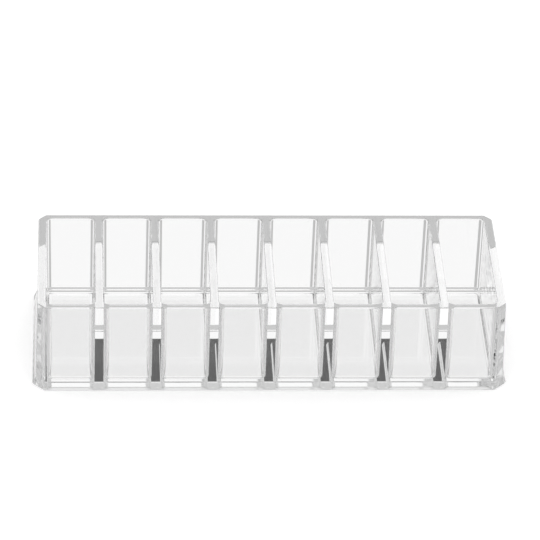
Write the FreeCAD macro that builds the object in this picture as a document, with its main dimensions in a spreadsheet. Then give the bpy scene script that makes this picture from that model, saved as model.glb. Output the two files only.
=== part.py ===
import FreeCAD, Part
import os
import re
import Sketcher

# A clear moulded organizer: one row of open wells between thick walls, on a base plate with a bevelled skirt.
# Every joint is a flat cemented one: the walls and dividers stand on low stubs of the base, and the dividers
# and end walls run between short roots of the front and rear walls, so that every inner round lies in one piece.
# The origin is on the underside at the middle of the base, +X runs along the row and the front faces -Y.

doc = FreeCAD.newDocument("vanity_organizer")

# Driving sizes in millimetres
sizes = {
    "well_width": 23.4,  # one well along the row, at its mouth
    "well_depth": 74.5,  # one well from front to rear, at its mouth
    "well_lean": 0.2,  # draft of each wall of a well, inward from its mouth to its floor
    "divider_top": 3.9,  # divider thickness at the rim
    "wall_top": 3.5,  # front and rear wall thickness at the rim
    "end_top": 4.0,  # end wall thickness at the rim
    "wall_lean": 0.95,  # draft of the outer faces, outward from the rim to the base
    "wall_corner": 4.2,  # leg of the chamfer on each upright corner
    "total_height": 46.0,
    "floor_thick": 3.05,  # base plate under a well
    "skirt_height": 4.0,  # bevelled edge of the base, from the underside to the foot of the walls
    "skirt": 1.8,  # how far the bevel spreads outside the walls
    "base_corner": 6.2,  # leg of the chamfer on each corner of the underside
    "corner_round": 2.8,  # upright inner corners of the wells
    "floor_round": 2.1,  # between the floor and the walls of a well
    "joint_land": 0.4,  # straight run between a round and the cemented joint beside it
    "rim_round": 0.65,  # top edges of the walls and dividers
    "sole_edge": 0.4,  # small chamfer on the bottom edge of the base
    "overrun": 2.0,  # how far a cut runs past the face that it opens
}
wellCount = 8
halfTurn = 180
tolerance = 1e-4

sheet = doc.addObject("Spreadsheet::Sheet", "sizes")
for row, (name, size) in enumerate(sizes.items(), start=1):
    sheet.set(f"A{row}", name)
    sheet.set(f"B{row}", str(size))
    sheet.setAlias(f"B{row}", name)
doc.recompute()


def bound(formula):
    return re.sub("[a-z_]+", r"sizes.\g<0>", formula)


def value(formula):
    return float(sheet.evalExpression(bound(formula)))


# Places that several pieces share; low is at the cemented joint above the base, top is at the rim
pitch = "(well_width + divider_top)"
halfRowTop = f"({wellCount} * {pitch} - divider_top) / 2"
halfRowLow = f"({halfRowTop} - well_lean)"
halfWellTop = "(well_depth / 2)"
halfWellLow = f"({halfWellTop} - well_lean)"
halfLengthTop = f"({halfRowTop} + end_top)"
halfLengthLow = f"({halfLengthTop} + wall_lean)"
halfDepthTop = f"({halfWellTop} + wall_top)"
halfDepthLow = f"({halfDepthTop} + wall_lean)"
recessDepth = "(floor_round + joint_land)"
seat = f"(floor_thick + {recessDepth})"
wallHeight = f"(total_height - {seat})"
rootFace = f"({halfWellLow} - corner_round - joint_land)"


def originPart(body, role):
    return next(feature for feature in body.Origin.OriginFeatures if feature.Role == role)


def newBody(label, turn=0, along=None):
    body = doc.addObject("PartDesign::Body", label)
    body.Label = label
    body.Placement = FreeCAD.Placement(FreeCAD.Vector(), FreeCAD.Rotation(FreeCAD.Vector(0, 0, 1), turn))
    if along:
        body.setExpression("Placement.Base.x", bound(along))
    return body


# A closed outline of straight lines, each corner held by two dimensions from the origin
def outline(body, name, role, corners, height=None):
    sketch = body.newObject("Sketcher::SketchObject", name)
    sketch.AttachmentSupport = [(originPart(body, role), "")]
    sketch.MapMode = "FlatFace"
    if height:
        sketch.setExpression("AttachmentOffset.Base.z", bound(height))
    points = [FreeCAD.Vector(value(across), value(up), 0) for across, up in corners]
    for start, end in zip(points, points[1:] + points[:1]):
        sketch.addGeometry(Part.LineSegment(start, end), False)
    for line, corner in enumerate(corners):
        sketch.addConstraint(Sketcher.Constraint("Coincident", line, 2, (line + 1) % len(corners), 1))
        for direction, formula in zip(("DistanceX", "DistanceY"), corner):
            dimension = Sketcher.Constraint(direction, -1, 1, line, 1, value(formula))
            sketch.setExpression(f"Constraints[{sketch.addConstraint(dimension)}]", bound(formula))
    return sketch


def padded(body, name, sketch, length, side="One side"):
    pad = body.newObject("PartDesign::Pad", name)
    pad.Profile = sketch
    pad.SideType = side
    pad.setExpression("Length", bound(length))


# Leans the chosen upright faces by a run over a rise; they keep their places at the height of the pivot
def drafted(body, name, run, rise, pivot, chosen):
    doc.recompute()
    base = body.Tip
    faces = {f"Face{number}": face for number, face in enumerate(base.Shape.Faces, start=1)}
    draft = body.newObject("PartDesign::Draft", name)
    draft.Base = (base, [key for key, face in faces.items() if upright(face) and chosen(face)])
    draft.NeutralPlane = (base, [key for key, face in faces.items() if level(face, value(pivot))])
    draft.setExpression("Angle", f"atan({bound(run)} / {bound(rise)})")
    body.Tip = draft


# One cut repeated for every well of the row; each copy has to take material away
def repeated(body, name, cut):
    doc.recompute()
    pattern = body.newObject("PartDesign::LinearPattern", name)
    pattern.Originals = [cut]
    pattern.Direction = (originPart(body, "X_Axis"), [""])
    pattern.Mode = "Spacing"
    pattern.setExpression("Offset", bound(pitch))
    pattern.Occurrences = wellCount
    body.Tip = pattern
    doc.recompute()
    before, first, after = (step.Shape.Volume for step in (cut.BaseFeature, cut, pattern))
    if first >= before or abs(before - after - wellCount * (before - first)) > tolerance * before:
        raise RuntimeError(f"{body.Label}: {name} does not cut {wellCount} equal wells")


def eased(body, name, size, chosen, kind="Fillet", measure="Radius"):
    doc.recompute()
    base = body.Tip
    edges = [f"Edge{number}" for number, edge in enumerate(base.Shape.Edges, start=1) if chosen(edge)]
    dressed = body.newObject(f"PartDesign::{kind}", name)
    dressed.Base = (base, edges)
    dressed.setExpression(measure, bound(size))
    body.Tip = dressed


def level(shape, height):
    return all(abs(vertex.Z - height) < tolerance for vertex in shape.Vertexes)


def upright(shape):
    return shape.BoundBox.ZLength > tolerance


def within(shape, halfLength, halfDepth):
    reach = shape.BoundBox
    across = max(abs(reach.XMin), abs(reach.XMax)) < halfLength + tolerance
    return across and max(abs(reach.YMin), abs(reach.YMax)) < halfDepth + tolerance


def octagon(length, depth, corner):
    quarter = [(length, f"{depth} - {corner}"), (f"{length} - {corner}", depth)]
    right = [(x, f"-({y})") for x, y in quarter[::-1]] + quarter
    return right + [(f"-({x})", y) for x, y in right[::-1]]


def rectangle(left, right, front, rear):
    return [(left, front), (right, front), (right, rear), (left, rear)]


# Base: a plate with a bevelled skirt and a low plinth, and one dished recess under every well
def baseTray():
    body = newBody("base_tray")
    plan = octagon(halfLengthLow, halfDepthLow, "wall_corner")
    padded(body, "plate", outline(body, "plate_outline", "XY_Plane", plan), "skirt_height")

    def onCorner(face):
        return max(face.BoundBox.XLength, face.BoundBox.YLength) < 2 * value("base_corner")

    cornerRun = "((2 * skirt + wall_corner - base_corner) / 2 ^ 0.5)"
    drafted(body, "side_bevel", "skirt", "skirt_height", "skirt_height", lambda face: not onCorner(face))
    drafted(body, "corner_bevel", cornerRun, "skirt_height", "skirt_height", onCorner)
    eased(body, "sole", "sole_edge", lambda edge: level(edge, 0), "Chamfer", "Size")
    plinth = outline(body, "plinth_outline", "XY_Plane", plan, "skirt_height")
    padded(body, "plinth", plinth, f"({seat} - skirt_height)")

    firstRight = f"-{halfRowLow} + well_width - 2 * well_lean"
    opening = rectangle(f"-{halfRowLow}", firstRight, f"-{halfWellLow}", halfWellLow)
    recess = body.newObject("PartDesign::Pocket", "recess")
    recess.Profile = outline(body, "recess_outline", "XY_Plane", opening, seat)
    recess.setExpression("Length", bound(recessDepth))
    repeated(body, "recesses", recess)

    floor = value("floor_thick")
    row = value(halfRowLow), value(halfWellLow)
    eased(body, "recess_corners", "corner_round", lambda edge: upright(edge) and within(edge, *row))
    eased(body, "recess_floors", "floor_round", lambda edge: level(edge, floor) and within(edge, *row))
    return body


# Front or rear wall: a drafted slab with chamfered corner posts, cut by the end of every well,
# which leaves a root for each divider
def longWall(label, turn):
    body = newBody(label, turn)
    root, rim = value(rootFace), value("total_height")

    def onRoot(shape):
        return all(abs(vertex.Y + root) < tolerance for vertex in shape.Vertexes)

    right = [(f"{halfLengthLow} - wall_corner", f"-{halfDepthLow}")]
    right += [(halfLengthLow, f"wall_corner - {halfDepthLow}"), (halfLengthLow, f"-{rootFace}")]
    plan = [(f"-({x})", y) for x, y in right[::-1]] + right
    padded(body, "slab", outline(body, "slab_outline", "XY_Plane", plan, seat), wallHeight)
    drafted(body, "outer_draft", "wall_lean", wallHeight, seat, lambda face: not onRoot(face))

    firstRight = f"-{halfRowLow} + well_width - 2 * well_lean"
    opening = rectangle(f"-{halfRowLow}", firstRight, f"-{halfWellLow}", f"overrun - {rootFace}")
    wellEnd = body.newObject("PartDesign::Pocket", "well_end")
    wellEnd.Profile = outline(body, "well_end_outline", "XY_Plane", opening, "total_height")
    wellEnd.setExpression("Length", bound(wallHeight))
    repeated(body, "well_ends", wellEnd)

    def inWell(shape):
        return upright(shape) and within(shape, value(halfRowTop), value(halfWellTop)) and not onRoot(shape)

    drafted(body, "well_draft", "well_lean", wallHeight, seat, inWell)
    eased(body, "well_corners", "corner_round", inWell)
    eased(body, "rim", "rim_round", lambda edge: level(edge, rim) and not onRoot(edge))
    return body


# End wall or divider: one drafted section between the roots of the long walls, with rounded top edges
def crossWall(label, section, turn=0, along=None):
    body = newBody(label, turn, along)
    sketch = outline(body, "section", "XZ_Plane", section)
    padded(body, "panel", sketch, f"2 * {rootFace}", "Symmetric")
    rim = value("total_height")
    long = value(rootFace)
    eased(body, "rim", "rim_round", lambda edge: level(edge, rim) and edge.BoundBox.YLength > long)
    return body


endSection = [(halfRowLow, seat), (halfLengthLow, seat), (halfLengthTop, "total_height")]
endSection.append((halfRowTop, "total_height"))
halfDivider = "divider_top / 2"
rightFlank = [(f"{halfDivider} + well_lean", seat), (halfDivider, "total_height")]
dividerSection = rightFlank + [(f"-({x})", z) for x, z in rightFlank[::-1]]

pieces = [
    baseTray(),
    longWall("front_wall", 0),
    longWall("rear_wall", halfTurn),
    crossWall("right_end_wall", endSection),
    crossWall("left_end_wall", endSection, halfTurn),
]
for number in range(1, wellCount):
    place = f"({number} - {wellCount} / 2) * {pitch}"
    pieces.append(crossWall(f"divider_{number}", dividerSection, along=place))

doc.recompute()
for item in doc.Objects:
    if "Invalid" in item.State or "Error" in item.State:
        raise RuntimeError(f"{item.Label} did not recompute: {item.State}")
for piece in pieces:
    if piece.Shape.isNull() or not piece.Shape.isValid() or len(piece.Shape.Solids) != 1:
        raise RuntimeError(f"{piece.Label} is not one valid solid")

os.makedirs("parts", exist_ok=True)
for piece in pieces:
    piece.Shape.exportStep(f"parts/{piece.Label}.step")
    print(piece.Label, "volume", round(piece.Shape.Volume, 2))
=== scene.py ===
import bmesh
import bpy
import math
from mathutils import Matrix, Vector


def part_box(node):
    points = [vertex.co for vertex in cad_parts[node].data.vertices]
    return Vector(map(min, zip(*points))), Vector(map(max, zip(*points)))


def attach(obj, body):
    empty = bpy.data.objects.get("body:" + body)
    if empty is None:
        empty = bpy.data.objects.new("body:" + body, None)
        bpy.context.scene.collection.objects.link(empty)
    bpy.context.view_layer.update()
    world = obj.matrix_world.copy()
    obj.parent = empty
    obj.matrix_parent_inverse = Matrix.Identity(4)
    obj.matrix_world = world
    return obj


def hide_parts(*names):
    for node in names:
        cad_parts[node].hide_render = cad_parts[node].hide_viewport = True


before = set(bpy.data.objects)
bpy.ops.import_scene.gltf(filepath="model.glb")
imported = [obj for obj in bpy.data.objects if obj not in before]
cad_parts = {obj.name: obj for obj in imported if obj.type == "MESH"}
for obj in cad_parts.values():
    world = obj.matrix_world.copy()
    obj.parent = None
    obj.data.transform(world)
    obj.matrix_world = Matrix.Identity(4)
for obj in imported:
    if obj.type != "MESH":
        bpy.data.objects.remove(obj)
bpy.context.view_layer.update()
print("frame loaded:", len(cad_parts), "nodes")

mm = 0.001

# Where the pieces meet, read from the frame
wallLow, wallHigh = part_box("front_wall")
dividerNames = sorted(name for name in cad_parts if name.startswith("divider"))
dividerBoxes = [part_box(name) for name in dividerNames]
dividerPlaces = [(low.x + high.x) / 2 for low, high in dividerBoxes]
pitch = dividerPlaces[1] - dividerPlaces[0]
wellPlaces = [place - pitch / 2 for place in dividerPlaces] + [dividerPlaces[-1] + pitch / 2]
seat = wallLow.z    # cemented joint between the base and everything that stands on it
rim = wallHigh.z
root = -wallHigh.y    # cemented joint between the long walls and the pieces that cross the row
halfLengthLow = wallHigh.x
halfDepthLow = -wallLow.y
halfDividerLow = (dividerBoxes[0][1].x - dividerBoxes[0][0].x) / 2
halfWellLow = pitch / 2 - halfDividerLow    # half of a well along the row, at the joint


def fromHex(code):    # sRGB hex to linear colour
    parts = [int(code[place:place + 2], 16) / 255 for place in (1, 3, 5)]
    return [part / 12.92 if part <= 0.04045 else ((part + 0.055) / 1.055) ** 2.4 for part in parts] + [1]


def addNode(tree, kind, sockets=None, **settings):
    node = tree.nodes.new(kind)
    for name, setting in settings.items():
        setattr(node, name, setting)
    for name, source in (sockets or {}).items():
        if isinstance(source, bpy.types.NodeSocket):
            tree.links.new(source, node.inputs[name])
        else:
            node.inputs[name].default_value = source
    return node


# Clear polystyrene, injection moulded in a polished tool: no colour of its own, bright where it passes
# light straight through, dark where its faces mirror the studio, with faint flow waves and rubbed places
plasticFinish = {
    "tint": "#fefefe",
    "refraction": 1.59,
    "gloss": 0.0,    # roughness of the polished faces
    "rubbed": 0.035,    # roughness where they are most rubbed
    "rubbedLevels": (0.62, 0.78),    # heights of the scuff pattern where the rubbing starts and is full
    "flowWave": 16,    # mm
    "flowHeight": 0.002,    # mm
    "scuff": 2.5,    # mm, drawn coarser than real hairlines so that it shows
}


def clearPlastic(finish):
    material = bpy.data.materials.new("clear_polystyrene_moulded")
    material.use_nodes = True
    tree = material.node_tree
    tree.nodes.clear()
    place = addNode(tree, "ShaderNodeTexCoord").outputs["Object"]
    flow = addNode(tree, "ShaderNodeTexNoise", {
        "Vector": place, "Scale": 1 / (finish["flowWave"] * mm), "Detail": 1.5, "Distortion": 0.8})
    wave = addNode(tree, "ShaderNodeBump", {
        "Height": flow.outputs["Fac"], "Strength": 1.0, "Distance": finish["flowHeight"] * mm})
    scuff = addNode(tree, "ShaderNodeTexNoise", {
        "Vector": place, "Scale": 1 / (finish["scuff"] * mm),
        "Detail": 6.0, "Roughness": 0.65, "Distortion": 1.6})
    start, full = finish["rubbedLevels"]
    rubbed = addNode(tree, "ShaderNodeMapRange", {
        "Value": scuff.outputs["Fac"], "From Min": start, "From Max": full,
        "To Min": finish["gloss"], "To Max": finish["rubbed"]})
    surface = addNode(tree, "ShaderNodeBsdfPrincipled", {
        "Base Color": fromHex(finish["tint"]), "IOR": finish["refraction"], "Transmission Weight": 1.0,
        "Roughness": rubbed.outputs["Result"], "Normal": wave.outputs["Normal"]})
    addNode(tree, "ShaderNodeOutputMaterial", {"Surface": surface.outputs["BSDF"]})
    return material


# Solvent-cemented joint: the melted faces run together and match the plastic, so that no mirror is left
# between them and the joint can't be seen
def cementedJoint():
    material = bpy.data.materials.new("solvent_cemented_joint")
    material.use_nodes = True
    tree = material.node_tree
    tree.nodes.clear()
    surface = addNode(tree, "ShaderNodeBsdfTransparent")
    addNode(tree, "ShaderNodeOutputMaterial", {"Surface": surface.outputs["BSDF"]})
    return material


plasticMaterial = clearPlastic(plasticFinish)
jointMaterial = cementedJoint()
print("materials ready")

# How finely and how softly the pieces are drawn
meshFinish = {
    "cornerFacets": 10,    # in a quarter turn of an upright corner
    "edgeFacets": 7,    # in a quarter turn of a small edge round
    "crispFrom": 35,    # degrees between faces, from which an edge stays crisp
    "jointReach": 1e-6,    # metres from a joint's plane within which a corner lies on it
}


def arcShares(steps):    # sine and cosine along a quarter turn
    turns = [step / steps * math.pi / 2 for step in range(steps + 1)]
    return [(math.sin(turn), math.cos(turn)) for turn in turns]


# Plan outline: corners are (x, y, radius), and a radius of None leaves the corner sharp
def planOutline(corners):
    points = []
    for number, (x, y, radius) in enumerate(corners):
        corner = Vector((x, y))
        if radius is None:
            points.append(corner)
            continue
        before = (Vector(corners[number - 1][:2]) - corner).normalized()
        after = (Vector(corners[(number + 1) % len(corners)][:2]) - corner).normalized()
        half = before.angle(after) / 2
        centre = corner + (before + after).normalized() * radius / math.sin(half)
        start = corner + before * radius / math.tan(half) - centre
        end = corner + after * radius / math.tan(half) - centre
        turn = math.atan2(start.x * end.y - start.y * end.x, start.dot(end))
        facets = max(2, round(meshFinish["cornerFacets"] * abs(turn) / (math.pi / 2)))
        for facet in range(facets + 1):
            points.append(centre + Matrix.Rotation(turn * facet / facets, 2) @ start)
    return points


def skin(bm, levels):    # a skin through outlines at rising or falling heights
    rings = [[bm.verts.new((point.x, point.y, height)) for point in outline] for outline, height in levels]
    for lower, upper in zip(rings, rings[1:]):
        for number in range(len(lower)):
            bm.faces.new((lower[number - 1], lower[number], upper[number], upper[number - 1]))
    return rings


def rectangleCorners(left, right, halfDepth, radius):
    front = [(left, -halfDepth, radius), (right, -halfDepth, radius)]
    return front + [(right, halfDepth, radius), (left, halfDepth, radius)]


def octagonCorners(halfLength, halfDepth, corner, radius):
    quarter = [(halfLength, halfDepth - corner), (halfLength - corner, halfDepth)]
    right = [(x, -y) for x, y in quarter[::-1]] + quarter
    return [(x, y, radius) for x, y in right + [(-x, y) for x, y in right[::-1]]]


def finishPiece(bm, name):
    bmesh.ops.recalc_face_normals(bm, faces=bm.faces)
    for face in bm.faces:
        face.smooth = True
        for axis, at in ((2, seat), (1, root), (1, -root)):
            if all(abs(vert.co[axis] - at) < meshFinish["jointReach"] for vert in face.verts):
                face.material_index = 1
    mesh = bpy.data.meshes.new(name)
    bm.to_mesh(mesh)
    bm.free()
    mesh.materials.append(plasticMaterial)
    mesh.materials.append(jointMaterial)
    mesh.set_sharp_from_angle(angle=math.radians(meshFinish["crispFrom"]))
    piece = bpy.data.objects.new(name + "_clear", mesh)
    bpy.context.scene.collection.objects.link(piece)
    even = piece.modifiers.new("even_shading", "WEIGHTED_NORMAL")
    even.keep_sharp = True
    even.weight = 100
    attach(piece, "root")
    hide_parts(name)
    return piece


# Front and rear walls: drafted, with chamfered corner posts and a root for every divider; sizes in mm
wallForm = {
    "lean": 0.95,    # outer faces, from the rim to the joint
    "top": 3.5,
    "corner": 4.2,    # leg of the chamfer on each upright corner, at the joint
    "postRound": 1.5,
    "wellCorner": 2.8,
    "wellLean": 0.2,
    "rimRound": 0.65,
}
halfWellDepthLow = halfDepthLow - (wallForm["lean"] + wallForm["top"] + wallForm["wellLean"]) * mm
chamferShrink = 2 - math.sqrt(2)    # how fast a chamfer's leg shrinks as its outline is drawn in


def risingLevels(form):    # share of the draft, inset of the rim round, and height
    rounding = form["rimRound"] * mm
    arc = arcShares(meshFinish["edgeFacets"])
    heights = [(rounding * (1 - cos), rim - rounding * (1 - sin)) for sin, cos in arc]
    return [(0, 0, seat)] + [((height - seat) / (rim - seat), inset, height) for inset, height in heights]


def longWall(name, form, facing):
    bm = bmesh.new()
    levels = []
    for share, inset, height in risingLevels(form):
        drawn = form["lean"] * mm * share + inset
        opened = form["wellLean"] * mm * share + inset
        length, depth = halfLengthLow - drawn, halfDepthLow - drawn
        leg = form["corner"] * mm - drawn * chamferShrink
        post = form["postRound"] * mm - inset
        well = form["wellCorner"] * mm + inset
        corners = [(-length, -root, None), (-length, leg - depth, post), (leg - length, -depth, post),
                   (length - leg, -depth, post), (length, leg - depth, post), (length, -root, None)]
        for place in reversed(wellPlaces):
            left, right = place - halfWellLow - opened, place + halfWellLow + opened
            inner = -halfWellDepthLow - opened
            corners += [(right, -root, None), (right, inner, well)]
            corners += [(left, inner, well), (left, -root, None)]
        levels.append((planOutline(corners), height))
    rings = skin(bm, levels)
    bm.faces.new(rings[0])
    bm.faces.new(rings[-1])
    bmesh.ops.rotate(bm, verts=bm.verts, matrix=Matrix.Rotation(facing, 3, "Z"))
    return finishPiece(bm, name)


# End walls and dividers: one drafted section between the roots of the long walls; sizes in mm
crossForm = {
    "wellLean": wallForm["wellLean"],
    "outerLean": wallForm["lean"],
    "rimRound": wallForm["rimRound"],
}


def crossWall(name, form, leftLean, rightLean):
    bm = bmesh.new()
    low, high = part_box(name)
    levels = []
    for share, inset, height in risingLevels(form):
        left = low.x + leftLean * mm * share + inset
        right = high.x - rightLean * mm * share - inset
        levels.append((planOutline(rectangleCorners(left, right, root, None)), height))
    rings = skin(bm, levels)
    bm.faces.new(rings[0])
    bm.faces.new(rings[-1])
    return finishPiece(bm, name)


# Base: plate with a bevelled skirt, low plinth, and a dished recess under every well; sizes in mm
tray = {
    "floor": 3.05,
    "skirtHeight": 4.0,
    "skirt": 1.8,    # how far the bevel spreads from the walls to the underside
    "corner": 6.2,    # leg of the chamfer on the underside
    "cornerRound": 0.9,
    "footRound": 0.8,
    "soleRound": 0.4,
    "recessCorner": 2.8,
    "recessFloor": 2.1,
}


def skirtProfile(form):    # inset from the widest outline, and height, from the underside up to the joint
    tall, skirt = form["skirtHeight"] * mm, form["skirt"] * mm
    sole, foot = form["soleRound"] * mm, form["footRound"] * mm
    slope = math.atan2(skirt, tall)
    soleInset = sole * (math.tan(slope) + 1 / math.cos(slope))
    footHeight = tall + foot * (1 / math.cos(slope) - 1) / math.tan(slope)
    shares = [step / meshFinish["edgeFacets"] for step in range(meshFinish["edgeFacets"] + 1)]
    profile = []
    for share in shares:
        turn = share * (math.pi / 2 + slope)
        profile.append((soleInset - sole * math.sin(turn), sole * (1 - math.cos(turn))))
    for share in shares:
        turn = slope * (1 - share)
        profile.append((skirt - foot * (1 - math.cos(turn)), footHeight - foot * math.sin(turn)))
    return profile + [(skirt, seat)]


def baseTray(form):
    bm = bmesh.new()
    skirt = form["skirt"] * mm
    narrowing = (form["corner"] - wallForm["corner"]) * mm / skirt
    levels = []
    for inset, height in skirtProfile(form):
        corner = form["corner"] * mm - inset * narrowing
        length, depth = halfLengthLow + skirt - inset, halfDepthLow + skirt - inset
        levels.append((planOutline(octagonCorners(length, depth, corner, form["cornerRound"] * mm)), height))
    outer = skin(bm, levels)
    bm.faces.new(outer[0])

    rings = [outer[-1]]
    floor, dish = form["floor"] * mm, form["recessFloor"] * mm
    arc = arcShares(meshFinish["edgeFacets"])
    sinking = [(0, seat)] + [(dish * (1 - cos), floor + dish * (1 - sin)) for sin, cos in arc]
    for place in wellPlaces:
        levels = []
        for inset, height in sinking:
            x, y = halfWellLow - inset, halfWellDepthLow - inset
            corners = rectangleCorners(place - x, place + x, y, form["recessCorner"] * mm - inset)
            levels.append((planOutline(corners), height))
        recess = skin(bm, levels)
        bm.faces.new(recess[-1])
        rings.append(recess[0])
    edges = []
    for ring in rings:
        edges += [bm.edges.get((ring[number - 1], ring[number])) for number in range(len(ring))]
    bmesh.ops.triangle_fill(bm, edges=edges, use_beauty=True, normal=(0, 0, 1))
    return finishPiece(bm, "base_tray")


baseTray(tray)
longWall("front_wall", wallForm, 0)
longWall("rear_wall", wallForm, math.pi)
crossWall("left_end_wall", crossForm, crossForm["outerLean"], crossForm["wellLean"])
crossWall("right_end_wall", crossForm, crossForm["wellLean"], crossForm["outerLean"])
for dividerName in dividerNames:
    crossWall(dividerName, crossForm, crossForm["wellLean"], crossForm["wellLean"])
print("clear pieces built:", len(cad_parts))

# Floor: matt white sweep; the plastic looks through it to the lit space below, as through a clear table
floorForm = {
    "half": 3000,    # mm
    "drop": 0.2,    # mm under the base, so that the two faces don't lie in one plane
    "paper": "#e7e7e7",
    "glow": 0.4,    # lifts the paper to white in the picture, and lights nothing
}


def studioFloor(form):
    material = bpy.data.materials.new("white_sweep_matt")
    material.use_nodes = True
    tree = material.node_tree
    tree.nodes.clear()
    ray = addNode(tree, "ShaderNodeLightPath")
    paper = addNode(tree, "ShaderNodeBsdfDiffuse", {"Color": fromHex(form["paper"])})
    lifted = addNode(tree, "ShaderNodeMath", {
        0: ray.outputs["Is Camera Ray"], 1: form["glow"]}, operation="MULTIPLY")
    glow = addNode(tree, "ShaderNodeEmission", {"Color": (1, 1, 1, 1), "Strength": lifted.outputs[0]})
    shown = addNode(tree, "ShaderNodeAddShader", {0: paper.outputs["BSDF"], 1: glow.outputs["Emission"]})
    clear = addNode(tree, "ShaderNodeBsdfTransparent")
    through = addNode(tree, "ShaderNodeMath", {
        0: ray.outputs["Is Transmission Ray"], 1: ray.outputs["Is Glossy Ray"]}, operation="MAXIMUM")
    surface = addNode(tree, "ShaderNodeMixShader", {
        0: through.outputs[0], 1: shown.outputs["Shader"], 2: clear.outputs["BSDF"]})
    addNode(tree, "ShaderNodeOutputMaterial", {"Surface": surface.outputs["Shader"]})
    mesh = bpy.data.meshes.new("studio_floor")
    half, drop = form["half"] * mm, form["drop"] * mm
    corners = [(-half, -half), (half, -half), (half, half), (-half, half)]
    mesh.from_pydata([(x, y, -drop) for x, y in corners], [], [(0, 1, 2, 3)])
    mesh.materials.append(material)
    floor = bpy.data.objects.new("studio_floor", mesh)
    bpy.context.scene.collection.objects.link(floor)


studioFloor(floorForm)

# Studio: white all round for whatever is seen straight or through the plastic; what its faces mirror is a
# plain studio in bands, each given as (degrees above the horizon where it starts, brightness)
studio = {
    "rear": [
        (-90, 1.1),    # table top right under the object, lit from below
        (-66, 0.6),    # table top farther off
        (-39, 1.1),    # foot of the lit backdrop, which whitens the tops of the dividers
        (-15, 0.8),    # backdrop
        (18, 1.0),    # strip of light, seen as the white bar on the divider ends
        (24, 0.6),
        (32, 0.1),    # dark gap above the strip, which darkens the lower half of the divider ends
        (36, 0.5),
        (51, 1.0),    # soft light overhead, which whitens the skirt
    ],
    "side": [(-90, 0.6), (40, 0.9)],    # dim room under a soft light
    "front": [(-90, 1.1), (-66, 0.6), (-36, 0.4), (-15, 0.8)],    # table top, its dim edge, and the room
    "aslant": [(-90, 1.0), (-42, 0.5), (-32, 1.0)],    # seen through the plastic, past the backdrop's edges
    "blend": (0.75, 0.95),    # cosines of the turn from straight behind, from the sides to the rear
    "slant": (0.74, 0.77, 0.95, 0.97),    # the same, where the slanting views begin and end
}


def brightnessByHeight(tree, height, bands):
    ramp = addNode(tree, "ShaderNodeValToRGB", {"Fac": height})
    ramp.color_ramp.interpolation = "CONSTANT"
    stops = ramp.color_ramp.elements
    stops.remove(stops[1])
    for number, (degrees, bright) in enumerate(bands):
        place = (math.sin(math.radians(degrees)) + 1) / 2
        stop = stops.new(place) if number else stops[0]
        stop.color = (bright, bright, bright, 1)
    return ramp.outputs["Color"]


def studioWorld(form):
    world = bpy.data.worlds.new("soft_studio")
    bpy.context.scene.world = world
    world.use_nodes = True
    tree = world.node_tree
    tree.nodes.clear()
    toward = addNode(tree, "ShaderNodeTexCoord").outputs["Generated"]
    upward = addNode(tree, "ShaderNodeSeparateXYZ", {"Vector": toward}).outputs["Z"]
    height = addNode(tree, "ShaderNodeMapRange", {"Value": upward, "From Min": -1.0}).outputs["Result"]
    level = addNode(tree, "ShaderNodeVectorMath", {0: toward, 1: (1, 1, 0)}, operation="MULTIPLY")
    compass = addNode(tree, "ShaderNodeVectorMath", {0: level.outputs["Vector"]}, operation="NORMALIZE")
    turn = addNode(tree, "ShaderNodeSeparateXYZ", {"Vector": compass.outputs["Vector"]}).outputs["Y"]

    def shareOf(start, end):
        share = addNode(tree, "ShaderNodeMapRange", {"Value": turn, "From Min": start, "From Max": end},
                        interpolation_type="SMOOTHSTEP")
        return share.outputs["Result"]

    def blended(share, first, second):
        mixed = addNode(tree, "ShaderNodeMix", {0: share, 6: first, 7: second}, data_type="RGBA")
        return mixed.outputs[2]

    white = (1, 1, 1, 1)
    near, far = form["blend"]
    mirror = brightnessByHeight(tree, height, form["side"])
    mirror = blended(shareOf(near, far), mirror, brightnessByHeight(tree, height, form["rear"]))
    mirror = blended(shareOf(-near, -far), mirror, brightnessByHeight(tree, height, form["front"]))
    through = blended(shareOf(*form["slant"][:2]), white, brightnessByHeight(tree, height, form["aslant"]))
    through = blended(shareOf(*form["slant"][2:]), through, white)
    ray = addNode(tree, "ShaderNodeLightPath")
    mirrored = addNode(tree, "ShaderNodeMath", {    # one mirror or more on the way
        0: ray.outputs["Glossy Depth"], 1: 0.5}, operation="GREATER_THAN")
    seen = blended(mirrored.outputs[0], through, mirror)
    back = addNode(tree, "ShaderNodeBackground", {"Color": seen})
    addNode(tree, "ShaderNodeOutputWorld", {"Surface": back.outputs["Background"]})


studioWorld(studio)

# Camera at the photograph's viewing angle; angles in degrees, lengths in mm, pixels in the 540 frame
view = {
    "azimuth": -3.55,
    "elevation": 33.427,
    "roll": 1.97,
    "distance": 1820.4,
    "aim": (0.57, 0, 40.46),
    "focalPixels": 3771.2,
    "framePixels": 540,
    "sensor": 36,
}


def studioCamera(form):
    azimuth, elevation, roll = (math.radians(form[name]) for name in ("azimuth", "elevation", "roll"))
    outward = math.cos(elevation)
    back = Vector((math.sin(azimuth) * outward, -math.cos(azimuth) * outward, math.sin(elevation)))
    data = bpy.data.cameras.new("studio_camera")
    data.sensor_width = form["sensor"]
    data.lens = form["focalPixels"] / form["framePixels"] * form["sensor"]
    camera = bpy.data.objects.new("studio_camera", data)
    facing = back.to_track_quat("Z", "Y").to_matrix() @ Matrix.Rotation(roll, 3, "Z")
    stand = (Vector(form["aim"]) + back * form["distance"]) * mm
    camera.matrix_world = Matrix.Translation(stand) @ facing.to_4x4()
    bpy.context.scene.collection.objects.link(camera)
    bpy.context.scene.camera = camera


studioCamera(view)

# Light crosses many faces of the plastic before it leaves it
scene = bpy.context.scene
scene.view_settings.view_transform = "Standard"
scene.cycles.max_bounces = 40
scene.cycles.transmission_bounces = 40
scene.cycles.glossy_bounces = 24
scene.cycles.transparent_max_bounces = 64
print("studio ready")
